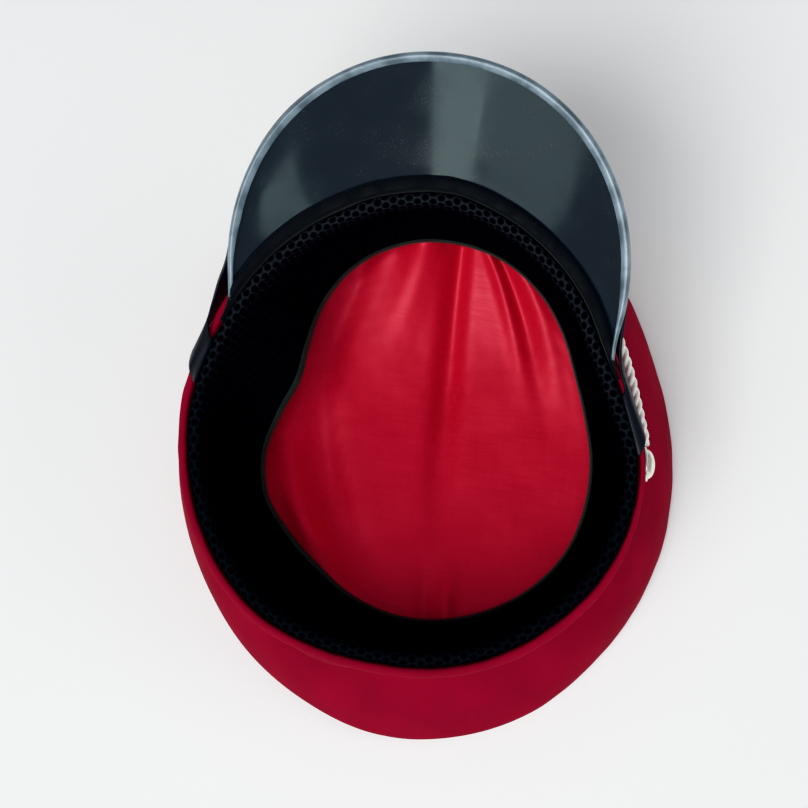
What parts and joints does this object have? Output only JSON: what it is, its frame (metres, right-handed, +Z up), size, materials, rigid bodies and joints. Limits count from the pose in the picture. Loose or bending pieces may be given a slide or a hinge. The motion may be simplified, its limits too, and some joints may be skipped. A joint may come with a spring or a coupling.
{
  "type": "peaked military cap",
  "caption": "Upturned peaked military cap: red cloth crown, padded sweatband, satin lining, glossy peak, chin strap and white cord.",
  "frame": {"origin": "on the flat of the crown's top, straight under the middle of the head opening; the cap lies upside-down on that flat at Z = 0", "axes": "+Z up from the crown's top through the head opening, +Y towards the peak, +X towards the button on the right of the picture, which is on the wearer's left"},
  "size_m": [0.2294, 0.261, 0.1351],
  "materials": {
    "red_cloth": "smooth crimson wool cloth",
    "red_piping": "cloth-covered piping cord round the crown's rim",
    "red_satin": "glossy crimson lining satin",
    "black_mesh": "padded black spacer net",
    "grey_tape": "matt woven binding tape",
    "black_tape": "blue-black woven tape",
    "gloss_pvc": "polished black-slate plastic, lightly scuffed",
    "silver_trim": "satin silver-grey plastic edging",
    "black_strap": "smooth black strap leather with a low sheen",
    "white_cord": "three-strand twisted ivory cord",
    "white_metal": "pale silvered metal button"
  },
  "bodies": {
    "root": {"crown_top": "red_cloth", "crown_side": "red_cloth", "crown_piping": "red_piping", "band": "red_cloth", "sweatband": "black_mesh", "sweatband_binding": "grey_tape", "lining": "red_satin", "peak": "gloss_pvc", "peak_trim": "silver_trim", "peak_welt": "black_tape", "chin_strap": "black_strap", "cord": "white_cord", "side_button_right": "white_metal", "side_button_left": "white_metal"}
  },
  "joints": []
}
